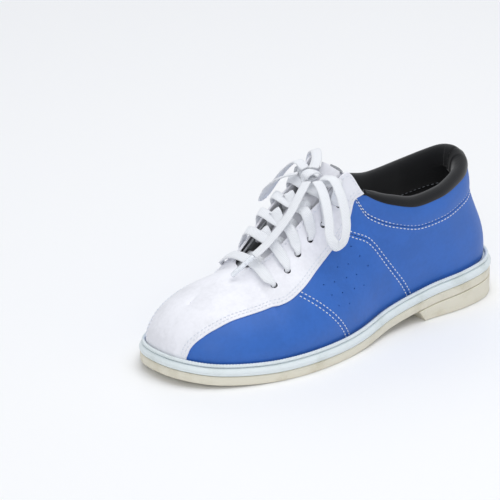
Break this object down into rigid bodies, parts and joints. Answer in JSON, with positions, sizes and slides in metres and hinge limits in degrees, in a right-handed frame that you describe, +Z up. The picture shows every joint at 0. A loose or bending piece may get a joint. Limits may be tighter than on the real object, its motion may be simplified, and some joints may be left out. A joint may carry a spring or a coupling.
{
  "type": "bowling shoe",
  "caption": "Low lace-up bowling shoe for the left foot, white vamp and facings over blue side panels, padded collar, flat sole with a sliding pad and a low heel block.",
  "frame": {"origin": "on the floor, under the middle of the sole's box", "axes": "+X to the heel along the sole, +Y to the inner side of the foot, +Z up"},
  "size_m": [0.2912, 0.1097, 0.1261],
  "materials": {
    "outsole_cream": "matte",
    "slide_microfibre": "napped",
    "sidewall_white": "satin",
    "steel": "brushed",
    "board": "matte",
    "black_lining": "soft matte",
    "blue_leather": "fine grain, satin",
    "white_leather": "fine grain, satin",
    "grey_lining": "woven",
    "stiffener": "matte",
    "foam": "open cell",
    "lace_white": "flat braid",
    "aglet_clear": "clear film",
    "eyelet_metal": "dark lacquer"
  },
  "bodies": {
    "shoe": {"outsole": "outsole_cream", "heel_block": "outsole_cream", "slide_pad": "slide_microfibre", "midsole": "sidewall_white", "shank": "steel", "welt_bead": "sidewall_white", "insole_board": "board", "sock_liner": "black_lining", "lateral_forepart": "blue_leather", "lateral_middle": "blue_leather", "lateral_quarter": "blue_leather", "medial_forepart": "blue_leather", "medial_middle": "blue_leather", "medial_quarter": "blue_leather", "collar_band": "blue_leather", "vamp": "white_leather", "vamp_lining": "grey_lining", "lateral_facing_backing": "grey_lining", "medial_facing_backing": "grey_lining", "toe_puff": "stiffener", "heel_counter": "stiffener", "quarter_lining": "grey_lining", "collar_lining": "black_lining", "collar_foam": "foam", "lace": "lace_white", "lace_loop_lateral": "lace_white", "lace_loop_medial": "lace_white", "lace_tail_front": "lace_white", "lace_tail_rear": "lace_white", "aglet_front": "aglet_clear", "aglet_rear": "aglet_clear", "lace_knot": "lace_white", "lateral_eyelet_1": "eyelet_metal", "lateral_eyelet_2": "eyelet_metal", "lateral_eyelet_3": "eyelet_metal", "lateral_eyelet_4": "eyelet_metal", "lateral_eyelet_5": "eyelet_metal", "lateral_eyelet_6": "eyelet_metal", "medial_eyelet_1": "eyelet_metal", "medial_eyelet_2": "eyelet_metal", "medial_eyelet_3": "eyelet_metal", "medial_eyelet_4": "eyelet_metal", "medial_eyelet_5": "eyelet_metal", "medial_eyelet_6": "eyelet_metal"},
    "tongue": {"tongue_outer": "white_leather", "tongue_foam": "foam", "tongue_lining": "grey_lining"}
  },
  "joints": [
    {"name": "tongue_hinge", "type": "hinge", "parent": "shoe", "child": "tongue", "pos_m": [-0.09, 0.005, 0.05], "axis": [0, 1, 0], "range_deg": [0, 8], "stiffness_Nm_per_rad": 0.2}
  ]
}
